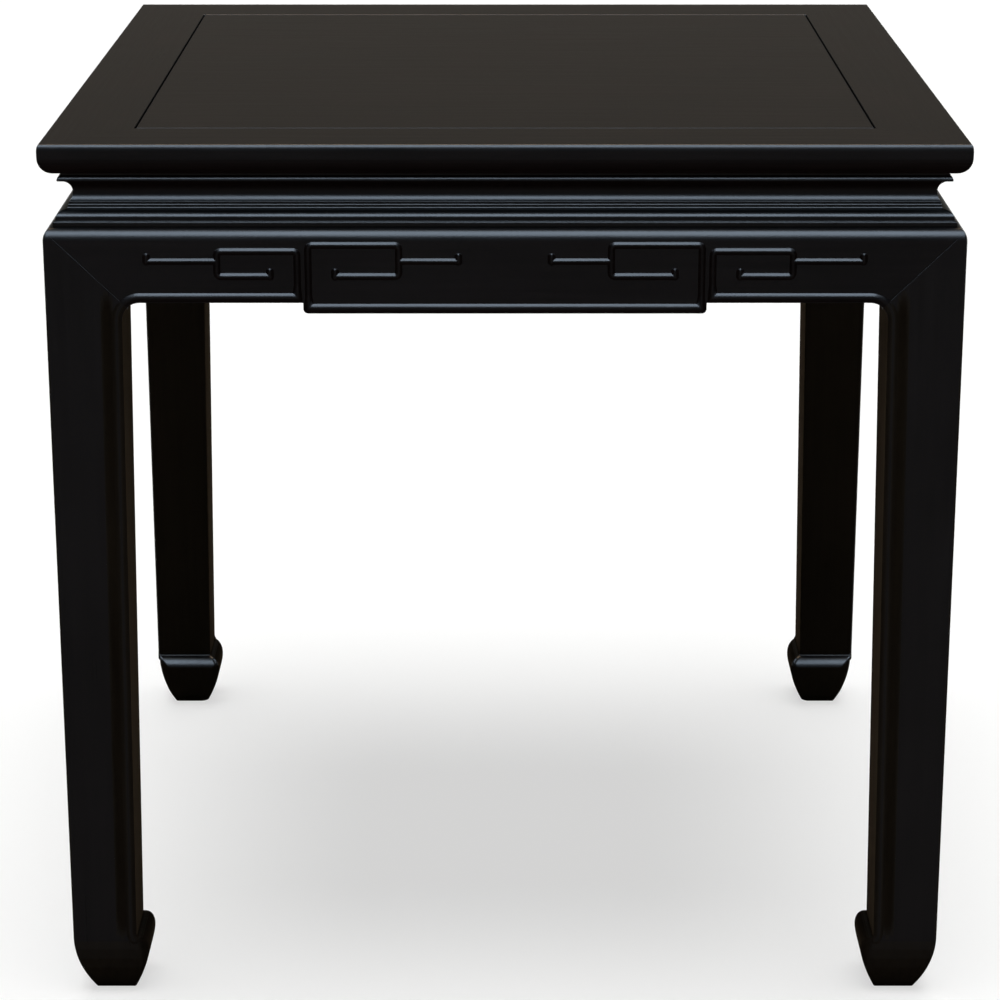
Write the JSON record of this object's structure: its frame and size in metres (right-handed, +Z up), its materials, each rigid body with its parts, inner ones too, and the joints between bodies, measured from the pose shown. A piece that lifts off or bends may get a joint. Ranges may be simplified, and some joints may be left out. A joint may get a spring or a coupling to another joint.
{
  "type": "lamp table",
  "caption": "Square waisted lamp table in black lacquered wood with a framed floating-panel top, key-fret aprons with a dropped centre, and tapered legs on inward hoof feet.",
  "frame": {"origin": "on the floor under the middle of the table", "axes": "+Z up, front of the table towards -Y, +X to the right seen from the front"},
  "size_m": [0.5588, 0.5588, 0.5588],
  "materials": {
    "black_lacquer": "satin black lacquer over hardwood",
    "bare_wood": "stained, unpolished underside"
  },
  "bodies": {
    "root": {"top_panel": "black_lacquer", "panel_batten_left": "bare_wood", "panel_batten_right": "bare_wood", "top_rail_front": "black_lacquer", "top_rail_right": "black_lacquer", "top_rail_back": "black_lacquer", "top_rail_left": "black_lacquer", "waist_front": "black_lacquer", "waist_right": "black_lacquer", "waist_back": "black_lacquer", "waist_left": "black_lacquer", "ledge_front": "black_lacquer", "ledge_right": "black_lacquer", "ledge_back": "black_lacquer", "ledge_left": "black_lacquer", "apron_front": "black_lacquer", "apron_right": "black_lacquer", "apron_back": "black_lacquer", "apron_left": "black_lacquer", "leg_front_left": "black_lacquer", "leg_front_right": "black_lacquer", "leg_back_right": "black_lacquer", "leg_back_left": "black_lacquer"}
  },
  "joints": []
}
